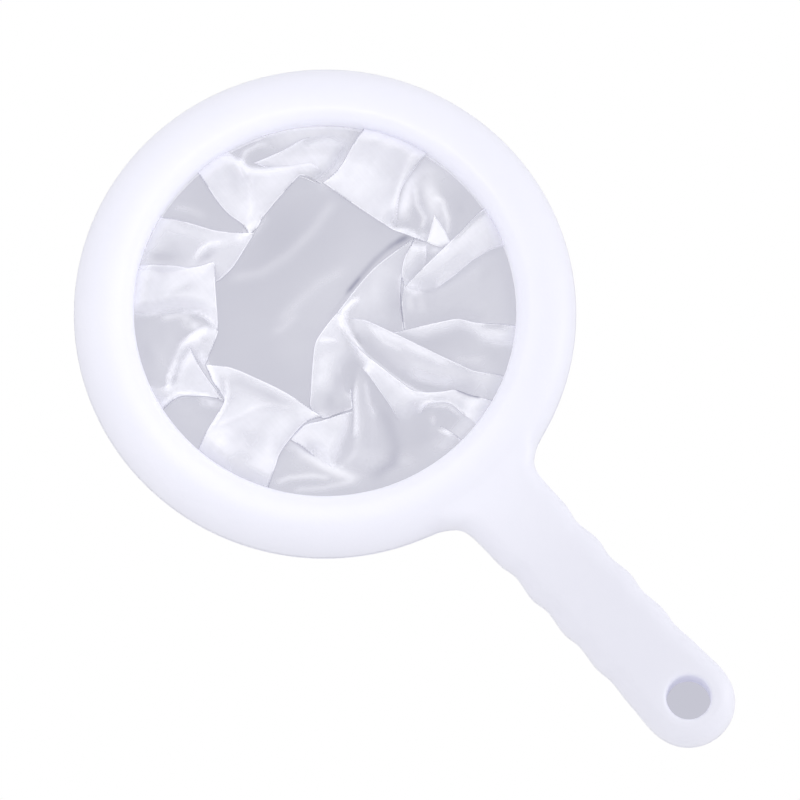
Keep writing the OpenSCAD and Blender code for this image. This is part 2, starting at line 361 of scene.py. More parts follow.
FLAPS = [
    # name, layer, density (whiteness of one layer, which also holds painted light), height, outline
    ("left_upper", 2, 0.25, 1.6,
     "-59.5,33.5,c -45.5,31,c -36,29,c -24,28.5,c -21.5,34,c -23,30.5,c -26.5,24,c -32,15.5,c "
     "-37.5,11.5,s -50,9.5,s -66,9.5,r"),
    ("left_loop", 1, 0.4, 1.4,
     "-37.5,-3,c -36.5,-6.5,c -41,-18,s -46.5,-13.5,s -50,-19,s -53.5,-29,s -55.5,-30.5,s -54,-19,s "
     "-50,-9.5,s -42.5,-4,s"),
    ("left_lower", 2, 0.32, 1.4,
     "-46.5,-10.5,c -42.5,-19,c -37,-27,c -33.8,-31.5,c -37.5,-29.8,c -45.5,-29.2,c -50,-30.2,c "
     "-56.5,-36,r -61,-24,s -53.5,-24,s -50,-15.5,s"),
    ("left", 3, 0.50, 1.6,
     "-66,16,c -51,16.5,c -46.5,16,c -37.5,18.5,c -37.5,11.5,c -37,4,c -36.5,-4,c -37.5,-9,s -41.5,-1.5,s "
     "-51,0.6,s -58.5,-1.2,s -67,-4,r"),
    ("bottom_left", 3, 0.34, 2.0,
     "-41,-18,c -33,-19,c -21,-24,c -11.5,-29,c -1,-36.5,c -6.5,-38.5,c -11,-43.5,c -15.2,-49.5,c "
     "-17,-55.5,c -20,-64,r -33,-57.5,r -43,-49,c -40.5,-42.5,c -37.5,-36.5,c -34.5,-30.5,c -38.5,-24,c"),
    ("upper_left", 2, 0.48, 1.8,
     "-44.5,50,c -39,41.5,c -34,35.5,c -28.5,31.3,c -26,27.6,c -23.2,30,c -20.8,34.2,c -15.2,41.2,c "
     "-8.5,48.5,c -1.5,46,s 1.5,50.5,s -4,56,s -15.5,54,s -24.5,52.5,s -29.5,55,s -33,57,r"),
    ("top", 1, 0.6, 1.2,
     "-24.5,52.5,e -9,48.5,e -1.5,46,s 6,54,s 9,60,s 2,63,s -5.8,61.7,e -15,57,e"),
    ("top_right", 4, 0.50, 2.0,
     "15,66.5,c 8.5,57,c 4.5,50.5,c -1,45.5,c 11,37,c 20,31,c 26,28,c 30.5,26.5,c 35,25.5,s 29.5,31,s "
     "24.5,31.5,e 25.5,41.5,e 27.5,46,e 36.5,57,r 25,63.5,r"),
    # a painted highlight: a small flap made almost opaque white
    ("glint", 2, 0.95, 1.8, "37.4,34.8,e 34.8,25.2,e 38.5,23.6,e 43.4,24.2,e 40.8,29.5,e"),
    ("right_tip", 2, 0.32, 1.2, "30.5,26.5,c 27,19.5,c 26,13.5,c 27,10.5,s 33.8,16.5,e 34.7,25.5,s"),
    ("right", 3, 0.29, 1.8,
     "57,38.5,c 42.5,25,c 34,16.5,c 27,9.6,s 32,8.4,s 37,8.8,e 43,12.2,e 50,17.8,e 59.7,22.2,e "
     "66,22.8,r"),
    ("right_low", 1, 0.045, 1.4,
     "27,10.7,s 36,9.5,s 50,17.5,s 59,21,s 62,10,s 66,-5.5,r 52,-3.5,s 45,-1.5,s 38,-3.5,s 27,-5,c 26,4,c"),
    ("middle", 1, 0.1, 1.6,
     "30.5,27,c 24,22.3,c 17,16.6,c 11.5,10.5,c 5,2,c -1.5,-6.5,s 7,-13.5,s 15.5,-8.5,s 23.5,-6,s 27,-5,c "
     "26,4,c 26,10.5,c 27,17,c"),
    ("pinch", 2, 0.19, 2.6,
     "11.5,11,s 5,2,c -1,-6,c -3.5,-10.5,c -4.5,-19,c -5,-28,c -5,-33,c -0.5,-37,c 9.5,-33.5,c 9,-26,s "
     "8,-19,s 13.5,-13.5,s 11,-5.5,s 9,2,s"),
    ("lower_right_top", 1, 0.30, 1.6,
     "22,-6.5,c 34,-3.8,c 42,-2,c 46,-1.6,c 52.5,-3.3,c 67,-5.5,r 67,-14.5,s 56,-12,s 47.5,-6.5,s "
     "40,-8.5,s 32,-9.5,s"),
    ("sweep_upper", 2, 0.12, 2.0,
     "7,-1,c 14,-2.3,c 23,-6.5,c 43.3,-16.5,c 52,-20.5,c 66,-24,r 60.5,-30.5,s 44,-26.5,s 29.5,-23,s "
     "18.5,-16.5,s 9,-7.5,s"),
    ("sweep", 3, 0.32, 2.6,
     "6,-1.5,c 7.5,-7.5,c 13.6,-14.4,c 19.8,-19.6,c 26,-24.4,c 31,-27.5,c 40,-27.5,c 44.4,-27,c 55,-31,c "
     "59.5,-31.5,r 52,-40.5,r 47.5,-36,e 42,-31.8,e 35.5,-32.3,e 31.5,-35.5,s 29,-38.2,s 25.5,-37.5,e "
     "21.3,-31.2,e 16.2,-23.8,e 12,-18,s 7,-11.5,s 5,-5.5,s"),
    ("low_ridge", 1, 0.06, 2.2,
     "11,-18,s 14,-19,s 16.5,-28,s 19.5,-37,s 20.3,-46,s 17,-53.5,s 8,-55.5,s 4,-54,s 8,-46,s 9.5,-38,s "
     "9.3,-28,s"),
    ("bottom", 2, 0.39, 1.6,
     "-1,-37.5,c 9.5,-33.7,s 9.5,-40,s 7,-48,s 3,-55,s -4,-49.5,c -12.2,-44.2,c -7,-39,c"),
    ("small", 1, 0.01, 1.2,
     "36,-39.5,s 39.5,-39,c 43.5,-42,c 47,-45.8,r 43,-48,s 38,-47,s 35,-43,s"),
]

STROKES = [
    # Soft creases, bands of thicker cloth and painted light, and hollows with painted shade, each along a
    # path:
    # layer it marks ("" is every layer), path, half-width, height, extra density (thicker cloth and painted
    # light), painted shade
    # the flat middle
    ("sheet", "-35,12 -22,14.4 -12,21.2 -4.3,29 5,42", 1.9, 0.8, 0.12, 0),
    ("sheet", "-18,-6 -8,4.9 -1.5,10.5 10,17", 2.2, 0.7, 0.09, 0),
    ("sheet", "-20,-7 -14,-5 -8,1", 1.4, 0.5, 0.09, 0),
    ("sheet", "18,32 10,18 0,4 -6,-8", 8.5, 0.3, 0.09, 0),
    ("sheet", "-8,36 -18,24 -27,12", 5.5, 0, -0.045, 0.06),
    ("sheet", "-9,-4 -12,-14 -10,-24", 6.0, 0.3, 0.05, 0),
    ("sheet", "31,29 26,26.8 21.5,23.6 17,19.4 12.5,14 9,9.8 6,6", 1.3, -0.3, 0, 0.68),
    ("sheet", "12.5,14 8,8.5 1,-1.5", 0.6, 0, 0, 0.30),
    ("sheet", "30,27.6 26.5,26 23.5,24.2", 1.7, 0, 0, 0.42),
    ("sheet", "-23,33 -10,45.5 -2,44.5", 1.6, 0, 0, 0.12),
    # upper left
    ("", "-26.3,45.5 -28.9,51 -27.3,56 -23,58.6 -18.5,59", 1.0, 1.4, 0.35, 0),
    ("", "-24.5,55 -20,57", 1.8, -0.4, -0.04, 0),
    ("top", "-25,52 -9,49.5", 1.6, 0, -0.30, 0),
    ("upper_left", "-9,47 -4,46.6", 1.8, 0, -0.28, 0),
    ("", "-31.5,53 -31,45 -28.5,36", 1.9, -0.3, -0.1, 0),
    ("", "-26,48 -24.5,36 -26,31", 1.0, 0.6, 0.11, 0),
    ("sheet", "-26,59.8 -14,62 -2,64 12,64", 4.6, 0, 0.55, 0),
    ("sheet", "6,62 4,55 0.6,48.3", 3.0, 0, 0.52, 0),
    ("sheet", "-54,37 -46,35.5 -39,33", 1.5, 0.6, 0.16, 0),
    ("", "-28,26.5 -25,30 -22,34", 1.7, 0.3, 0.56, 0),
    # left
    ("left_upper", "-57,22 -47,23", 3.4, 0.3, -0.15, 0),
    ("left_upper", "-61,18.5 -50,18.5", 2.2, 0, -0.22, 0),
    ("left_upper", "-56,30.5 -44,26.5 -34,26", 1.8, 0.3, 0.08, 0),
    ("", "-44.8,18 -42.4,21.8 -39.4,23.9 -34.5,24.2", 0.75, 1.0, 0.42, 0),
    ("left_upper", "-42.3,18.8 -38.5,21.2", 1.0, -0.4, -0.25, 0.30),
    ("left", "-56,4.5 -49.5,7.5 -42,10.5", 1.7, -0.3, -0.22, 0),
    ("left", "-60,1.2 -52,2.8 -45,2.8", 1.0, 0.3, 0.11, 0),
    ("left", "-65,-1.5 -54,0.8 -48,1.8", 1.6, 0, 0.28, 0),
    ("", "-50,1.0 -43,0.6 -39.5,-1.6 -37.4,-4.6", 0.75, 1.0, 0.42, 0),
    ("", "-47,-3 -42,-4.6", 1.7, 0.3, 0.48, 0),
    ("", "-58,-1.6 -50,-0.2 -44,-1.5", 1.3, 0.3, 0.26, 0),
    ("", "-40,-7 -41.5,-11", 1.8, 0, -0.26, 0),
    ("sheet", "-61,-3 -61,-13 -57.5,-24", 3.0, 0, 0, 0.28),
    ("sheet", "-52,-3 -53,-11 -56,-20", 3.0, 0.3, 0.06, 0),
    ("left_loop", "-43,-13 -39,-15", 1.6, 0, -0.15, 0.05),
    ("left_loop", "-42.5,-3.5 -48,-9", 2.2, 0.5, 0.44, 0),
    ("", "-50,-15.5 -53,-22.5 -53.7,-28.5", 0.8, 0.7, 0.32, 0),
    ("left_lower", "-49.5,-21 -51,-26", 2.0, -0.2, -0.18, 0),
    ("left_lower", "-59,-24 -54,-28.5", 3.5, 0, -0.34, 0),
    ("left_lower", "-45,-14 -40.5,-24", 1.5, 0.4, 0.11, 0),
    ("", "-43.5,-12 -39.6,-20 -35.6,-29", 1.3, 0.3, 0.46, 0),
    ("", "-41,-30.4 -36.5,-31.2", 1.5, 0.3, 0.50, 0),
    ("", "-57,-34.4 -50.5,-29.2 -45.5,-28.3 -38,-29.8", 0.8, 0.5, 0.34, 0),
    ("sheet", "-47,-32 -44,-40", 3.6, 0, 0, 0.12),
    # bottom left
    ("bottom_left", "-36,-22 -34.5,-27 -33.6,-31", 2.0, -0.2, -0.2, 0),
    ("", "-33.8,-23 -33,-28.5 -35,-34.5 -39.5,-41.5", 0.7, 0.6, 0.32, 0),
    ("bottom_left", "-30,-27 -22,-29.5 -13,-33", 3.6, 0, -0.12, 0),
    ("bottom_left", "-36,-21.6 -22,-27.2 -6,-36.4", 2.4, 0, -0.15, 0),
    ("bottom_left", "-38.5,-40.5 -32.4,-38 -24.7,-34.2 -19.6,-32.6 -9,-33.8", 0.8, 0.5, 0.08, 0),
    ("bottom_left", "-28,-46 -28,-57", 4.6, -0.3, -0.32, 0),
    ("bottom_left", "-36,-44 -35.5,-51", 2.0, 0.4, 0.14, 0),
    ("bottom_left", "-10,-37 -18,-43 -19.5,-55", 2.2, 0.4, 0.11, 0),
    ("", "-13,-43.6 -6.8,-48.8 -0.2,-53.2 6,-56.6 13,-59.6", 1.9, 0.6, 0.40, 0),
    ("sheet", "-13,-43 -12,-46", 1.6, 0, 0.3, 0),
    ("sheet", "-18,-60.6 -12,-58.2 -4,-57.4 3,-58.6", 1.1, 0.4, 0.22, 0),
    ("sheet", "-12,-62.8 0,-61.8 11,-59.2", 1.1, 0.3, 0.22, 0),
    ("sheet", "-12,-48 -6,-54", 3.0, 0, 0.08, 0.04),
    # top right
    ("top_right", "29,53 24,45 19.8,36", 3.6, -0.4, -0.2, 0),
    ("top_right", "14,57 22,60", 1.6, 0, -0.12, 0),
    ("top_right", "31.5,56 27,47.5 24.2,38 23.8,32", 1.1, 0.8, 0.26, 0),
    ("top_right", "8,48 5,46 16,53", 3.0, 0.3, 0.11, 0),
    ("sheet", "31,53 28.3,44 26.6,36 28,31", 2.3, 0.3, 0.70, 0),
    ("", "31,46 31.6,38.5 34.1,33.8 33,29", 0.9, 1.2, 0.38, 0),
    ("", "36.8,42 40.6,39.1 42.3,33 41.8,26.5", 0.95, 1.0, 0.36, 0),
    ("sheet", "34,48 36.5,41 38.8,34", 2.8, 0.3, 0.58, 0),
    ("", "35.5,23.4 40,22.4", 1.4, 0.3, 0.52, 0),
    ("", "27,11.5 31,8.8", 1.7, 0.3, 0.48, 0),
    ("", "31.5,28.3 35,27", 1.5, 0.3, 0.55, 0),
    ("top_right", "26,29.5 30,28", 1.2, 0, -0.20, 0),
    ("sheet", "45.5,41 47,33", 2.2, 0, 0, 0.30),
    ("sheet", "32,54 44,45", 3.0, 0.3, 0.16, 0),
    ("right_tip", "33.3,22 32,17", 1.6, 0, -0.12, 0),
    ("right", "52,31 42,21", 2.6, 0.3, 0.09, 0),
    ("right", "58,37.6 42,24.2", 1.1, 0, -0.28, 0),
    ("right", "28,9.8 33,8.9 38,9.9", 0.8, 0.5, 0.24, 0),
    ("right_low", "42,6 50,12", 4.0, 0, 0.02, 0),
    ("right_low", "28.6,8 29.5,-1", 1.3, 0.5, 0.16, 0),
    ("right_low", "32.5,7 33.5,-1", 1.2, 0.4, 0.11, 0),
    ("right_low", "56.5,19 54,9", 2.6, 0, -0.08, 0.14),
    ("right_low", "36,-2.2 46,0.4 58,-2.2", 1.7, 0, -0.06, 0.34),
    # middle and pinch
    ("middle", "25.7,8 25.8,-4", 0.6, 0, -0.06, 0.12),
    ("middle", "24.2,9 23.6,-4.5", 2.8, -0.3, -0.10, 0.34),
    ("middle", "20,13 15,3", 3.4, 0.3, 0.14, 0),
    ("middle", "16,-1 21,-5", 1.8, 0, 0, 0.20),
    ("", "12.5,5.8 9.5,3.8 6.8,0.8 6.2,-4", 0.9, 1.1, 0.36, 0),
    ("", "-2,-9.6 4.5,-9.8", 0.5, 0.5, 0.32, 0),
    ("pinch", "1.8,-12 0,-20 -1.6,-29", 2.2, 0.8, 0.14, 0),
    ("pinch", "10,-18 5.6,-22.5 3.6,-31", 2.4, -0.5, -0.20, 0.34),
    ("pinch", "-2,-32 5.5,-31", 3.6, 0, -0.30, 0.16),
    ("", "-7,-37.6 -1,-36.4", 1.5, 0.3, 0.50, 0),
    # sweeping folds, lower right
    ("", "5.6,-1.5 6.2,-5 9.2,-9.6 13.8,-14.4 19.8,-19.5 26,-24.1 31.5,-27.2 35,-28.4", 0.75, 1.2, 0.54, 0),
    ("sweep", "10.5,-12.5 17,-19.5 24.5,-26.5 33,-30", 1.5, 0.4, 0.08, 0),
    ("sweep", "24,-28 27,-34.5", 3.0, 0, -0.1, 0),
    ("", "31.5,-33 36,-31.7 42,-31.9 47.5,-35.9", 0.7, 1.0, 0.54, 0),
    ("sweep_upper", "10,-4 16.5,-12.5 26,-19.5", 2.6, -0.3, -0.06, 0),
    ("sweep_upper", "13.7,-3.2 20.4,-10.5 27,-13.8", 0.7, 0.4, 0.14, 0),
    ("sweep_upper", "14,-4.2 23,-8.6 34,-14 44,-18.6", 1.7, 0.6, 0.24, 0),
    ("sweep_upper", "26,-17.2 36,-20.8 45,-23.4 51,-24.6", 1.7, 0.7, 0.10, 0),
    ("sweep_upper", "27,-20.5 36,-23.4 46,-25.4", 1.9, -0.2, 0.32, 0),
    ("", "44.4,-27 50.5,-29.6 53.5,-30.8", 0.45, 0, 0, 0.55),
    ("lower_right_top", "31.5,-8.3 40,-5 45,-3.6 51,-7.5", 0.8, 0.4, 0.04, 0),
    ("lower_right_top", "51,-4.4 64,-6", 1.4, 0, -0.28, 0),
    ("lower_right_top", "38,-9.2 46,-8.2 51,-9.4", 1.9, 0, -0.16, 0.06),
    ("lower_right_top", "55,-8 62,-10.5", 2.6, 0.3, 0.08, 0),
    ("", "56,-12.6 60,-17.5", 2.2, 0, -0.04, 0.20),
    ("sheet", "41,-15.4 49,-16.4 57,-16.8", 1.8, 0.4, 0.14, 0),
    ("", "35,-12.5 45,-12.8 54,-14.5", 1.8, 0, 0.04, 0.04),
    ("sheet", "46,-10.5 56,-10.5 63,-12", 2.2, 0.3, 0.06, 0),
    ("low_ridge", "9.2,-20 9.8,-33 9.8,-44", 1.3, 0.6, 0.44, 0),
    ("low_ridge", "13.6,-22.5 15,-31 18,-37.5", 0.9, 0.6, 0.16, 0),
    ("", "17,-27.5 21.8,-38 24.2,-46 22.8,-52.5 17.5,-56.8 10,-58.4", 2.9, -0.4, -0.06, 0.50),
    ("low_ridge", "15.5,-25 18.5,-32", 1.0, 0, -0.08, 0.40),
    ("bottom", "-6,-44 2,-47", 3.0, 0.3, 0.11, 0),
    ("bottom", "2,-37 4,-45", 3.2, 0, -0.16, 0),
    ("sheet", "34,-45 29,-53", 4.2, 0, -0.07, 0.16),
    ("sheet", "36.5,-34 37.4,-40", 0.9, 0.5, 0.26, 0),
    ("sheet", "24,-50 30,-54", 2.4, 0.3, 0.06, 0),
    ("", "38.2,-40.2 42,-41.8 43.6,-43.4", 0.6, 0.6, 0.26, 0),
    ("sheet", "43,-45 45.5,-46", 1.2, 0, 0, 0.40),
]

def waves(x, y, seed, scale):
    """Smooth random height, about -1 to 1, made of a few plane waves."""
    rng = np.random.default_rng(seed)
    out = np.zeros_like(x)
    for _ in range(9):
        a = rng.uniform(0, 2 * math.pi)
        k = 2 * math.pi / (scale * rng.uniform(0.6, 1.8))
        out += np.sin(k * (x * math.cos(a) + y * math.sin(a)) + rng.uniform(0, 6.3))
    return out / 4.0


def distance_to(px, py, starts, ends):
    """Distance from each point to the nearest of the segments."""
    best = np.full(px.shape, 1e9)
    for (ax, ay), (bx, by) in zip(starts, ends):
        dx, dy = bx - ax, by - ay
        length_2 = max(dx * dx + dy * dy, 1e-12)
        t = np.clip(((px - ax) * dx + (py - ay) * dy) / length_2, 0, 1)
        best = np.minimum(best, np.hypot(px - ax - t * dx, py - ay - t * dy))
    return best


def inside(px, py, outline):
    """Which points lie inside a closed outline."""
    result = np.zeros(px.shape, bool)
    for (ax, ay), (bx, by) in zip(outline, np.roll(outline, -1, axis=0)):
        crosses = (ay > py) != (by > py)
        with np.errstate(divide="ignore", invalid="ignore"):
            at = (bx - ax) * (py - ay) / (by - ay) + ax
        result ^= crosses & (px < at)
    return result


def path_points(text):
    return [tuple(float(v) for v in p.split(",")) for p in text.split()]


STROKE_PATHS = [(layer, path_points(path), *values) for layer, path, *values in STROKES]


def strokes(x, y, layer):
    """Height, extra density (thicker cloth and painted light) and painted shade that the strokes give to one
    layer.
    """
    z, cloth_density_and_light, shade = np.zeros_like(x), np.zeros_like(x), np.zeros_like(x)
    for on, pts, half_width, height, density_and_light, dark in STROKE_PATHS:
        if on not in ("", layer):
            continue
        # a stroke fades towards both ends, and a short one less than a long one
        first, last = (np.hypot(x - px, y - py) for px, py in (pts[0], pts[-1]))
        at_end = 0 if math.dist(pts[0], pts[-1]) > 6 * half_width else 0.35
        fade = smooth(at_end + np.minimum(first, last) / (3.5 * half_width))
        mark = np.exp(-(distance_to(x, y, pts[:-1], pts[1:]) / half_width) ** 2) * fade
        # extra density is thicker cloth and painted light; dark is painted shade
        z += height * mark
        cloth_density_and_light += density_and_light * mark
        shade += dark * mark
    return z, cloth_density_and_light, shade


def sheet_height(x, y):
    """Height of the thin sheet: from the slot in the ring's wall down to the table, with soft ripples."""
    r = np.hypot(x, y)
    a = np.arctan2(y, x)
    run = 15 + 4 * np.sin(3 * a + 0.6) + 3 * np.sin(5 * a + 2.0)
    z = SLOT_Z + (FLOOR_Z - SLOT_Z) * smooth((MOUTH_R + 0.5 - r) / run)
    marks, _, _ = strokes(x, y, "sheet")
    ripples = 0.35 * (1 + waves(x, y, seed=3, scale=26)) + 0.12 * (1 + waves(x, y, seed=4, scale=9))
    return z + smooth((MOUTH_R + 0.2 - r) / 7) * np.maximum(0, 0.55 * marks + ripples)


def to_object(x, y):
    """From plan coordinates to the object's frame."""
    return RIGHT.x * x - RIGHT.y * y, RIGHT.y * x + RIGHT.x * y


def build_sheet():
    """The thin sheet: a square grid of points, rounded into a disc."""
    n = SHEET_STEPS
    u, v = (values.ravel() for values in np.meshgrid(*[np.linspace(-1, 1, n + 1)] * 2))
    x = NET_R * u * np.sqrt(1 - v * v / 2)
    y = NET_R * v * np.sqrt(1 - u * u / 2)
    # the strokes add density, which is thicker cloth and painted light, and painted shade
    _, extra_density_and_light, shade = strokes(x, y, "sheet")
    slope = smooth((np.hypot(x, y) - 36) / 14)
    cloth_density_and_light = SHEET_DENSITY + 0.045 * slope + extra_density_and_light + 0.02 * waves(x, y, seed=8, scale=30)
    corners = [j * (n + 1) + i for j in range(n) for i in range(n)]
    faces = [(k, k + 1, k + n + 2, k + n + 1) for k in corners]
    return x, y, sheet_height(x, y), cloth_density_and_light, np.zeros_like(x), shade, faces


def tangent(before, at, after, length):
    """Tangent at a corner of an outline, cut to nothing where the corner is sharp."""
    u, w = at - before, after - at
    cos = u @ w / (np.linalg.norm(u) * np.linalg.norm(w) + 1e-9)
    along = (after - before) / 2
    return along * smooth((cos - 0.2) / 0.5) * min(1.0, length / (np.linalg.norm(along) + 1e-9))


def flap_outline(text):
    """Points along the outline, gently rounded, with the kind of the edge that each one starts."""
    corners = [p.split(",") for p in text.split()]
    pts = [np.array((float(x), float(y))) for x, y, _ in corners]
    out, kinds = [], []
    for i, (_, _, kind) in enumerate(corners):
        p0, p1, p2, p3 = (pts[(i + k) % len(pts)] for k in (-1, 0, 1, 2))
        length = np.linalg.norm(p2 - p1)
        t1, t2 = tangent(p0, p1, p2, length), tangent(p1, p2, p3, length)
        steps = max(2, int(length / OUTLINE_STEP))
        for k in range(steps):
            t = k / steps
            point = ((2 * t**3 - 3 * t**2 + 1) * p1 + (t**3 - 2 * t**2 + t) * t1
                     + (3 * t**2 - 2 * t**3) * p2 + (t**3 - t**2) * t2)
            out.append(point * min(1.0, NET_R / max(np.hypot(*point), 1e-9)))
            kinds.append(kind)
    out = np.array(out)
    apart = np.hypot(*(np.roll(out, -1, axis=0) - out).T) > 0.05
    return out[apart], [kind for kind, ok in zip(kinds, apart) if ok]


def flap_points(outline, after, crisp):
    """Points inside a flap: rows close along its crisp edges, then a staggered grid."""
    edge = after - outline
    area = np.sum(outline[:, 0] * after[:, 1] - after[:, 0] * outline[:, 1]) / 2
    inward = np.stack([-edge[:, 1], edge[:, 0]], 1) * np.sign(area)
    inward /= np.linalg.norm(inward, axis=1)[:, None]
    parts = []
    for d in CLOSE_ROWS:
        row = ((outline + after) / 2 + inward * d)[crisp]
        clear = distance_to(*row.T, outline, after) > d * 0.93
        parts.append(row[clear & inside(*row.T, outline)])
    low, high = outline.min(0), outline.max(0)
    row_step = GRID_STEP * 0.866
    gx, gy = np.meshgrid(np.arange(low[0], high[0], GRID_STEP), np.arange(low[1], high[1], row_step))
    gx = gx + (np.arange(len(gx))[:, None] % 2) * GRID_STEP / 2
    grid = np.stack([gx.ravel(), gy.ravel()], 1)
    grid = grid[inside(*grid.T, outline)]
    clear = distance_to(*grid.T, outline, after) > 0.45
    clear &= distance_to(*grid.T, outline[crisp], after[crisp]) > 1.4
    return np.concatenate(parts + [grid[clear]])


def doubled(x, y, looks, heights, triangles, shared):
    """A top and a bottom surface over the same triangles. The points of shared belong to both."""
    middle, top, bottom = heights
    count = len(x)
    below = np.arange(count) + count
    below[shared] = np.where(shared)[0]
    keep = np.concatenate([np.arange(count), np.where(~shared)[0] + count])
    number = np.full(2 * count, -1)
    number[keep] = np.arange(len(keep))
    z = np.concatenate([np.where(shared, middle, top), bottom])[keep]
    x, y, *looks = (np.tile(values, 2)[keep] for values in (x, y, *looks))
    faces = []
    for f in triangles:
        faces.append(tuple(int(number[i]) for i in f))
        under = tuple(int(number[below[i]]) for i in reversed(f))
        if len(set(under)) == len(under) and not all(shared[i] for i in f):
            faces.append(under)
    return x, y, z, *looks, faces


def build_flap(index, name, layer, density_and_light, height, text):
    """One flap: cloth folded double, closed along its crisp edges and let down at its soft ones."""
    outline, kinds = flap_outline(text)
    after = np.roll(outline, -1, axis=0)
    crisp, pressed, soft = ([i for i, k in enumerate(kinds) if k in letters] for letters in ("ce", "c", "s"))
    points = np.concatenate([outline, flap_points(outline, after, crisp)])
    n = len(outline)
    edges = [(i, (i + 1) % n) for i in range(n)]
    points, _, triangles, *_ = delaunay_2d_cdt([Vector(p) for p in points], edges, [], 1, 1e-5)
    x, y = np.array([tuple(p) for p in points]).T
    to_crisp, to_pressed, to_soft = (
        distance_to(x, y, outline[picked], after[picked]) for picked in (crisp, pressed, soft))
    r = np.hypot(x, y)

    # height of the fold's middle, over the sheet and the layers below it
    marks, extra_density_and_light, shade = strokes(x, y, name)
    lift = smooth(to_soft / 5) * (0.25 + 0.75 * smooth((NET_R - r) / 6))
    puff = 1 - np.exp(-to_crisp / 3.5)
    swell = height * puff * (0.75 + 0.35 * waves(x, y, seed=20 + index, scale=22))
    middle = sheet_height(x, y) + 0.35 + lift * (LAYER_RISE * layer + swell + 0.5 * marks)
    # half its thickness: a rolled edge, flatter at the ring and towards a soft edge
    rolled = np.sqrt(1 - (1 - np.clip(to_crisp / ROLL, 0, 1)) ** 2)
    half = rolled * (0.14 + 0.3 * smooth((NET_R - 0.4 - r) / 5) * (0.4 + 0.6 * smooth(to_soft / 4)))
    half += 0.25 * lift * puff
    wrinkle = WRINKLE * waves(x, y, seed=60 + index, scale=7) * lift
    heights = middle, middle + half + wrinkle, middle - half + 0.4 * wrinkle

    fade = smooth(to_soft / 3.5)
    cloudy = 1 + 0.12 * waves(x, y, seed=40 + index, scale=16)
    # whiteness from the flap's density and the strokes' extra density, both partly painted light
    cloth_density_and_light = (density_and_light * fade + extra_density_and_light * smooth(to_soft / 1.2)) * cloudy
    # a pressed fold gets a dark line of painted shade at its very edge, and just inside it a bright line that
    # is a painted highlight and also stands for the cloth seen edge-on
    crease_highlight = np.exp(-((to_pressed - 0.28) / 0.22) ** 2)
    shade = shade * fade + 0.55 * smooth((0.2 - to_pressed) / 0.16)
    return doubled(x, y, (cloth_density_and_light, crease_highlight, shade), heights, triangles, to_crisp < 1e-3)


def build_net():
    parts = [build_sheet()] + [build_flap(i, *f) for i, f in enumerate(FLAPS)]
    faces = []
    start = 0
    for part in parts:
        faces += [tuple(start + i for i in face) for face in part[-1]]
        start += len(part[0])
    x, y, z, *looks = (np.concatenate([part[k] for part in parts]) for k in range(6))
    x, y = to_object(x, y)
    obj = mesh_object("net", np.stack([x, y, z], 1), faces)
    # the attributes: the cloth's density with painted light, painted highlights along pressed folds, and
    # painted shade
    for label, values in zip(("net_density_and_light", "net_crease_highlight", "net_shade"), looks):
        obj.data.attributes.new(label, "FLOAT", "POINT").data.foreach_set("value", values.astype(np.float32))
    # The points are set to a hanging shape, a bowl with a flat bottom, while the transform is baked, and then
    # put back in the folded shape.
    flat_r = base_high[0] / MM * 0.92
    depth = np.clip((NET_R - np.hypot(x, y)) / (NET_R - flat_r), 0, 1)
    folded = np.stack([x, y, z], 1) * MM
    bowl = np.stack([x * MM, y * MM, -depth], 1)
    obj.data.vertices.foreach_set("co", bowl.ravel())
    obj.data.update()
    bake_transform(obj)
    obj.data.vertices.foreach_set("co", folded.ravel())
    obj.data.update()
    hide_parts("net_wall", "net_base")
    return obj


net = build_net()


# ---------- Materials ----------

def new_material(name):
    m = bpy.data.materials.new(name)
    m.use_nodes = True
    m.node_tree.nodes.clear()
    return m, m.node_tree.nodes, m.node_tree.links


def node_math(n, l, op, a, b=None):
    """A math node on values or sockets; returns its output."""
    node = n.new("ShaderNodeMath")
    node.operation = op
    for socket, value in zip(node.inputs, (a, b)):
        if isinstance(value, (int, float)):
            socket.default_value = value
        elif value is not None:
            l.new(value, socket)
    return node.outputs[0]


def color_mix(n, l, a, b, factor):
    """A blend of two colours by a socket's value; returns its output."""
    mix = n.new("ShaderNodeMix")
    mix.data_type = "RGBA"
    mix.inputs["A"].default_value = (*a, 1)
    mix.inputs["B"].default_value = (*b, 1)
    l.new(factor, mix.inputs["Factor"])
    return mix.outputs["Result"]


def shader_mix(n, l, factor, a, b):
    mix = n.new("ShaderNodeMixShader")
    for socket, value in zip(mix.inputs, (factor, a.outputs[0], b.outputs[0])):
        l.new(value, socket)
    return mix


def bumped(n, l, height, strength, distance):
    bump = n.new("ShaderNodeBump")
    bump.inputs["Strength"].default_value = strength
    bump.inputs["Distance"].default_value = distance
    l.new(height, bump.inputs["Height"])
    return bump.outputs[0]


def normal_dot(n, l, direction=None):
    """How far the surface faces a direction, or the viewer if none is given."""
    geometry = n.new("ShaderNodeNewGeometry")
    dot = n.new("ShaderNodeVectorMath")
    dot.operation = "DOT_PRODUCT"
    l.new(geometry.outputs["Normal"], dot.inputs[0])
    if direction is None:
        l.new(geometry.outputs["Incoming"], dot.inputs[1])
    else:
        dot.inputs[1].default_value = direction
    return dot.outputs["Value"]


def turned_coordinates(n, l, turn):
    """Object coordinates turned about Z."""
    coordinates = n.new("ShaderNodeTexCoord")
    turned = n.new("ShaderNodeMapping")
    turned.inputs["Rotation"].default_value = (0, 0, turn)
    l.new(coordinates.outputs["Object"], turned.inputs["Vector"])
    return turned.outputs[0]


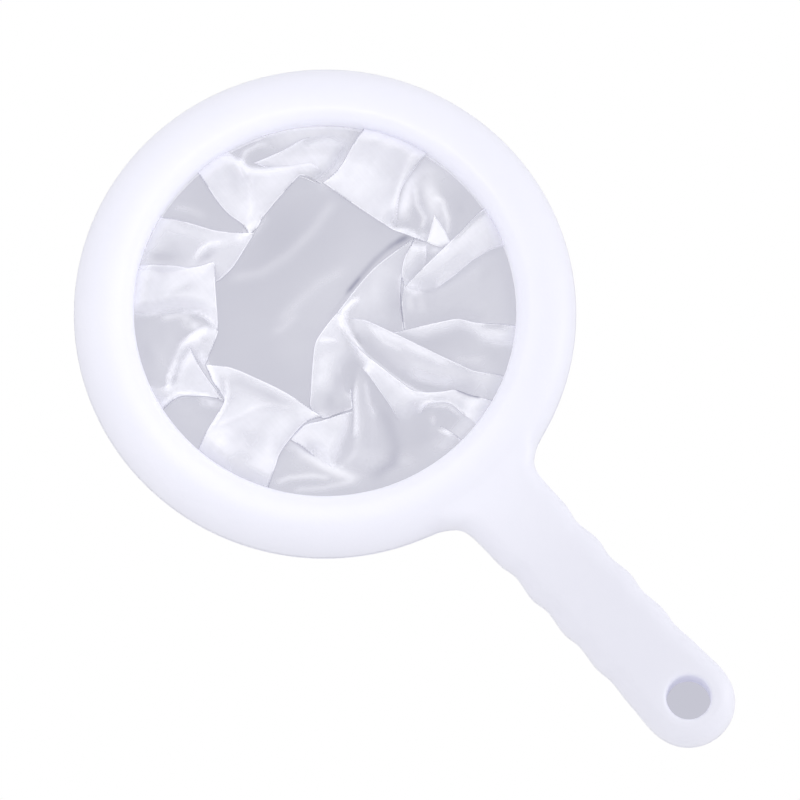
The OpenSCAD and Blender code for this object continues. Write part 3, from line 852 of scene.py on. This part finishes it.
def noise_node(n, l, scale, stretch=(1, 1, 1), turn=0.0, detail=2.0):
    """Noise in object space. scale is per metre, before the stretch along each turned axis."""
    stretched = n.new("ShaderNodeMapping")
    stretched.inputs["Scale"].default_value = stretch
    noise = n.new("ShaderNodeTexNoise")
    noise.inputs["Scale"].default_value = scale
    noise.inputs["Detail"].default_value = detail
    l.new(turned_coordinates(n, l, turn), stretched.inputs["Vector"])
    l.new(stretched.outputs[0], noise.inputs["Vector"])
    return noise.outputs[0]


def plastic_material():
    """Satin white polypropylene: faint cloudy tint, fine moulded texture, light that sinks in a little."""
    m, n, l = new_material("white_polypropylene")
    out = n.new("ShaderNodeOutputMaterial")
    b = n.new("ShaderNodeBsdfPrincipled")
    tint = color_mix(n, l, (0.845, 0.845, 0.965), (0.872, 0.872, 0.988), noise_node(n, l, 45))
    l.new(tint, b.inputs["Base Color"])
    b.inputs["Roughness"].default_value = 0.40
    b.inputs["IOR"].default_value = 1.49
    b.inputs["Subsurface Weight"].default_value = 0.25
    b.inputs["Subsurface Radius"].default_value = (1.0, 1.0, 1.0)
    b.inputs["Subsurface Scale"].default_value = 0.004
    l.new(bumped(n, l, noise_node(n, l, 900), 0.06, 0.0004), b.inputs["Normal"])
    l.new(b.outputs[0], out.inputs[0])
    return m


def hoop_material():
    """The plastic hoop in the net's hem: dull white with small scuffs."""
    m, n, l = new_material("scuffed_hoop")
    out = n.new("ShaderNodeOutputMaterial")
    b = n.new("ShaderNodeBsdfPrincipled")
    scuffs = noise_node(n, l, 1800, detail=4.0)
    l.new(color_mix(n, l, (0.70, 0.70, 0.74), (0.84, 0.84, 0.87), scuffs), b.inputs["Base Color"])
    l.new(node_math(n, l, "MULTIPLY_ADD", scuffs, 0.3), b.inputs["Roughness"])
    l.new(bumped(n, l, scuffs, 0.2, 0.0001), b.inputs["Normal"])
    l.new(b.outputs[0], out.inputs[0])
    return m


THREAD = 0.000127       # spacing of the net's threads in metres: 200 to the inch
WAVE_BAND = 0.314       # spacing of a wave texture's bands at scale 1
WEAVE_TURN = 0.1        # turn of the threads about Z, in radians
STREAK_TURN = math.radians(-TURN - 40)
GRAIN, CROSS_GRAIN, WEAVE = 0.14, 0.08, 0.05    # how much the streaks and threads vary the cloth
# painted sheen: the cloth is made whiter on slopes that face one fixed direction, whatever the lamps do
PAINTED_SHEEN = 0.6             # how much whiter a slope that faces the light is
# how much the painted highlights along pressed folds and the painted shade add to the cloth's density
CREASE_HIGHLIGHT_DENSITY = 0.36
SHADE_DENSITY = 0.28
SLANT_POWER = 1.6
PAINTED_SHEEN_FROM = (-RIGHT * 0.6 + AWAY * 0.8).normalized()
CLOTH_WHITE = (0.93, 0.93, 0.985)
# colour of the painted shade on the cloth
PAINTED_SHADE_COLOR = (0.06, 0.06, 0.16)


def net_material():
    """Thin white cloth: see-through in one layer, whiter where folded or slanting, with painted light in its
    density, a painted sheen, painted highlights along pressed folds and painted shade.
    """
    m, n, l = new_material("nylon_net")
    out = n.new("ShaderNodeOutputMaterial")

    def attribute(label):
        node = n.new("ShaderNodeAttribute")
        node.attribute_name = label
        return node.outputs["Fac"]

    def calc(op, a, b=None):
        return node_math(n, l, op, a, b)

    def clamped(value, low, high):
        return calc("MINIMUM", calc("MAXIMUM", value, low), high)

    def threads(turn):
        """Dark and light lines one thread apart."""
        wave = n.new("ShaderNodeTexWave")
        wave.inputs["Scale"].default_value = WAVE_BAND / THREAD / 2
        l.new(turned_coordinates(n, l, turn), wave.inputs["Vector"])
        return wave.outputs["Fac"]

    # threads drawn together make fine streaks along the two directions of the weave
    streak = noise_node(n, l, 1.0, (900, 60, 200), STREAK_TURN)
    cross = noise_node(n, l, 1.0, (70, 700, 200), STREAK_TURN)
    grain = calc("ADD", calc("MULTIPLY", streak, GRAIN), calc("MULTIPLY", cross, CROSS_GRAIN))
    both = calc("ADD", threads(WEAVE_TURN), threads(WEAVE_TURN + math.pi / 2))
    varied = calc("ADD", calc("ADD", grain, calc("MULTIPLY", both, WEAVE)), 0.84)
    # painted sheen: whiter on slopes that face one fixed direction
    painted_sheen = calc("ADD", calc("MULTIPLY", normal_dot(n, l, PAINTED_SHEEN_FROM), PAINTED_SHEEN), 1.0)
    # the cloth's density, which also holds painted light, with its grain and the painted sheen
    cloth_density_and_light = calc("MULTIPLY", calc("MULTIPLY", attribute("net_density_and_light"), varied), painted_sheen)
    shade = clamped(attribute("net_shade"), 0.0, 1.0)
    # painted highlights along pressed folds and painted shade add to the cloth's density
    total = calc("ADD", cloth_density_and_light, calc("MULTIPLY", attribute("net_crease_highlight"), CREASE_HIGHLIGHT_DENSITY))
    total = calc("ADD", total, calc("MULTIPLY", shade, SHADE_DENSITY))
    # Beer's law: what passes straight through falls with the slant of the cloth
    cos = calc("MAXIMUM", calc("ABSOLUTE", normal_dot(n, l)), 0.12)
    slant = calc("POWER", calc("DIVIDE", 1.0, cos), SLANT_POWER)
    passed = calc("POWER", calc("SUBTRACT", 1.0, clamped(total, 0.02, 0.95)), slant)

    # painted shade turns the cloth's colour dark
    color = color_mix(n, l, CLOTH_WHITE, PAINTED_SHADE_COLOR, shade)
    diffuse = n.new("ShaderNodeBsdfDiffuse")
    through = n.new("ShaderNodeBsdfTranslucent")
    l.new(color, diffuse.inputs["Color"])
    l.new(color, through.inputs["Color"])
    cloth = n.new("ShaderNodeMixShader")
    cloth.inputs[0].default_value = 0.08
    l.new(diffuse.outputs[0], cloth.inputs[1])
    l.new(through.outputs[0], cloth.inputs[2])
    seen = shader_mix(n, l, calc("SUBTRACT", 1.0, passed), n.new("ShaderNodeBsdfTransparent"), cloth)
    l.new(seen.outputs[0], out.inputs[0])
    return m


def give(obj, material):
    obj.data.materials.clear()
    obj.data.materials.append(material)


plastic = plastic_material()
give(upper, plastic)
give(lower, plastic)
give(net, net_material())
hoop = frame["nodes"]["net_hoop"]
give(hoop, hoop_material())

# ---------- Stage, lights and camera ----------

# What shows through the net and through the hanging hole is grey; around the strainer the table is white
GREY = (0.565, 0.565, 0.645)
BOUNCE = 0.87           # how brightly the table lights the strainer from below
SKY = 0.948
TABLE = 3000            # half-width of the table, in mm
TABLE_Z = -0.4
CARD_R, CARD_Z, CARD_SIDES = 11.5, -0.2, 96


def card_material():
    """The grey that is seen through the hanging hole."""
    m, n, l = new_material("grey_card")
    out = n.new("ShaderNodeOutputMaterial")
    glow = n.new("ShaderNodeEmission")
    glow.inputs["Color"].default_value = (*GREY, 1)
    l.new(glow.outputs[0], out.inputs[0])
    return m


def table_material():
    """A pale table: white from above, shaded softly where it is seen at a slant, grey through the net."""
    m, n, l = new_material("pale_table")
    out = n.new("ShaderNodeOutputMaterial")
    path = n.new("ShaderNodeLightPath")
    is_camera = path.outputs["Is Camera Ray"]
    behind_net = node_math(n, l, "MINIMUM", path.outputs["Transparent Depth"], 1.0)
    glow = n.new("ShaderNodeEmission")
    grey_seen = node_math(n, l, "MULTIPLY", behind_net, is_camera)
    l.new(color_mix(n, l, (1, 1, 1), GREY, grey_seen), glow.inputs["Color"])
    to_camera = node_math(n, l, "MULTIPLY", is_camera, 1 - BOUNCE)
    l.new(node_math(n, l, "ADD", to_camera, BOUNCE), glow.inputs["Strength"])
    matt = n.new("ShaderNodeBsdfDiffuse")
    matt.inputs["Color"].default_value = (0.80, 0.80, 0.82, 1)
    # from glowing at 0.93 of facing the camera to mostly matt at 0.55
    slant = n.new("ShaderNodeMapRange")
    slant.inputs["From Min"].default_value = 0.93
    slant.inputs["From Max"].default_value = 0.55
    slant.inputs["To Max"].default_value = 0.85
    l.new(node_math(n, l, "ABSOLUTE", normal_dot(n, l)), slant.inputs["Value"])
    direct = node_math(n, l, "MULTIPLY", is_camera, node_math(n, l, "SUBTRACT", 1.0, behind_net))
    surface = shader_mix(n, l, node_math(n, l, "MULTIPLY", slant.outputs["Result"], direct), glow, matt)
    l.new(surface.outputs[0], out.inputs[0])
    return m


angles = [2 * math.pi * k / CARD_SIDES for k in range(CARD_SIDES)]
rim = [(HANG_X + CARD_R * math.cos(a), CARD_R * math.sin(a), CARD_Z) for a in angles]
card = mesh_object("card_hole", rim, [tuple(range(CARD_SIDES))])
give(card, card_material())
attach(card, "frame")

corners = [(TABLE * sx, TABLE * sy, TABLE_Z) for sx, sy in ((-1, -1), (1, -1), (1, 1), (-1, 1))]
floor = mesh_object("floor", corners, [(0, 1, 2, 3)])
give(floor, table_material())
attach(floor, "net_floor")

scene = bpy.context.scene
world = bpy.data.worlds.new("studio")
scene.world = world
world.use_nodes = True
background = world.node_tree.nodes["Background"]
background.inputs["Color"].default_value = (1, 1, 1, 1)
background.inputs["Strength"].default_value = SKY
scene.view_settings.view_transform = "Standard"
scene.view_settings.look = "None"

# The lamps light the strainer and not the table
lit = bpy.data.collections.new("lit")
for piece in (upper, lower, net, hoop):
    lit.objects.link(piece)


def place_light(data, pos, target, power):
    data.energy = power
    lamp = link(data.name, data)
    lamp.light_linking.receiver_collection = lit
    lamp.location = pos
    lamp.rotation_euler = (target - pos).to_track_quat("-Z", "Y").to_euler()


# the spot brightens the ring and fades out before the handle
key = bpy.data.lights.new("key", "SPOT")
key.spot_size = math.radians(25.6)
key.spot_blend = 0.6
key.shadow_soft_size = 0.06
key_at = AWAY * 0.03 - RIGHT * 0.02 + Vector((0, 0, 0.45))
place_light(key, key_at, -RIGHT * 0.010, power=2.2)

# the side light catches the right-hand edges
side_light = bpy.data.lights.new("side", "AREA")
side_light.shape = "DISK"
side_light.size = 0.3
side_at = RIGHT * 0.70 + AWAY * 0.02 + Vector((0, 0, 0.15))
place_light(side_light, side_at, RIGHT * 0.10 - AWAY * 0.10, power=0.5)

VIEW_WIDTH = 0.2731     # width of the picture at the strainer, in metres
CAMERA_FAR = 6.0
SENSOR = 36
BACK = -AWAY * math.sin(TILT) + Vector((0, 0, math.cos(TILT)))
looked_at = RIGHT * 0.0256 - AWAY * 0.0303 + Vector((0, 0, 0.003))
camera_data = bpy.data.cameras.new("camera")
camera_data.sensor_width = SENSOR
camera_data.lens = SENSOR * CAMERA_FAR / VIEW_WIDTH
camera = link("camera", camera_data)
rotation = Matrix((RIGHT, BACK.cross(RIGHT), BACK)).transposed().to_4x4()
camera.matrix_world = Matrix.Translation(looked_at + BACK * CAMERA_FAR) @ rotation
scene.camera = camera
